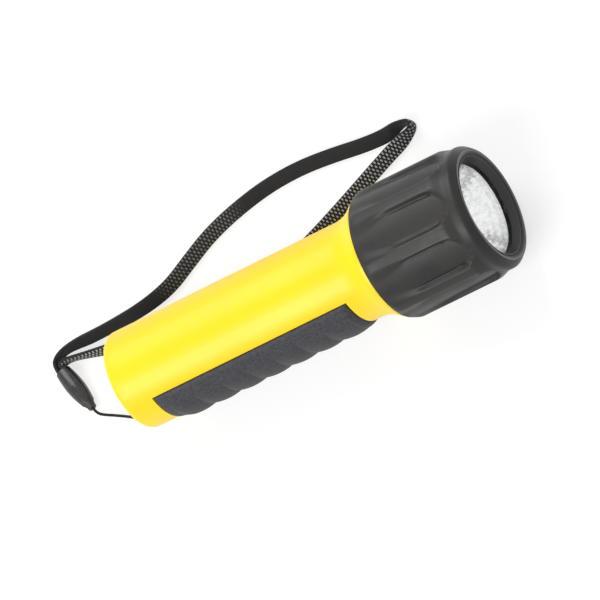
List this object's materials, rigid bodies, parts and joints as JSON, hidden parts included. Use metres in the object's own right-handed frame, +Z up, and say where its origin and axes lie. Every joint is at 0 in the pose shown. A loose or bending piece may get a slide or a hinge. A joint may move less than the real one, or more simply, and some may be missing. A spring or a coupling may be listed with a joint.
{
  "type": "diving torch",
  "caption": "Battery diving torch with a fluted rubber twist head, clear window, yellow barrel, side grip pad and a braided wrist lanyard.",
  "frame": {"origin": "middle of the box of the torch without its lanyard, on the surface that it lies on", "axes": "+X along the torch from tail to window, raised 2.8 degrees above level as the torch lies; +Z up; the grip pad faces -Y and the lanyard lies towards +Y"},
  "size_m": [0.1998, 0.0811, 0.052],
  "materials": {
    "yellow_shell": "satin gloss, moulded",
    "grip_rubber": "matt",
    "head_rubber": "matt with a soft sheen",
    "black_plastic": "matt",
    "clear_window": "polished, clear polycarbonate",
    "bright_reflector": "vacuum metallised",
    "seal_rubber": "smooth",
    "white_board": "solder mask",
    "green_board": "solder mask",
    "emitter": "clear over yellow phosphor",
    "aluminium_sink": "turned",
    "steel_small": "plated",
    "brass_contact": "plated",
    "cell_wrap": "plain printed sleeve",
    "strap_braid": "flat braid",
    "cord_braid": "fine round braid",
    "sleeve_plastic": "semi-gloss"
  },
  "bodies": {
    "barrel": {"barrel_shell": "yellow_shell", "grip_pad": "grip_rubber", "o_ring_1": "seal_rubber", "o_ring_2": "seal_rubber", "battery_carrier": "black_plastic", "battery_cell_1": "cell_wrap", "battery_cell_2": "cell_wrap", "battery_cell_3": "cell_wrap", "battery_cell_4": "cell_wrap", "rear_contact_board": "green_board", "front_contact_board": "green_board", "rear_contact_spring": "steel_small", "front_contact_spring": "steel_small", "lanyard_knot": "cord_braid", "lanyard_cord": "cord_braid", "lanyard_collar": "black_plastic", "lanyard_sleeve": "sleeve_plastic", "wrist_strap": "strap_braid"},
    "lamp": {"lamp_housing": "black_plastic", "reflector": "bright_reflector", "led_board": "white_board", "led_emitter": "emitter", "heat_sink": "aluminium_sink", "board_screws": "steel_small", "driver_board": "green_board", "contact_pin": "brass_contact", "ring_contact": "brass_contact"},
    "head": {"head_sleeve": "head_rubber", "head_core": "black_plastic", "lens": "clear_window", "lens_gasket": "seal_rubber", "bezel_ring": "black_plastic", "lamp_retainer": "black_plastic"}
  },
  "joints": [
    {"name": "head_advance", "type": "slide", "parent": "barrel", "child": "lamp", "axis": [-0.9988, 0, -0.0485], "range_m": [-0.009, 0.001]},
    {"name": "head_turn", "type": "hinge", "parent": "lamp", "child": "head", "pos_m": [0.03606, 0, 0.02499], "axis": [-0.9988, 0, -0.0485], "range_deg": [-1080, 120]}
  ],
  "couplings": [
    {"joint": "head_turn", "follows": "head_advance", "rad_per_m": 2094.4}
  ]
}
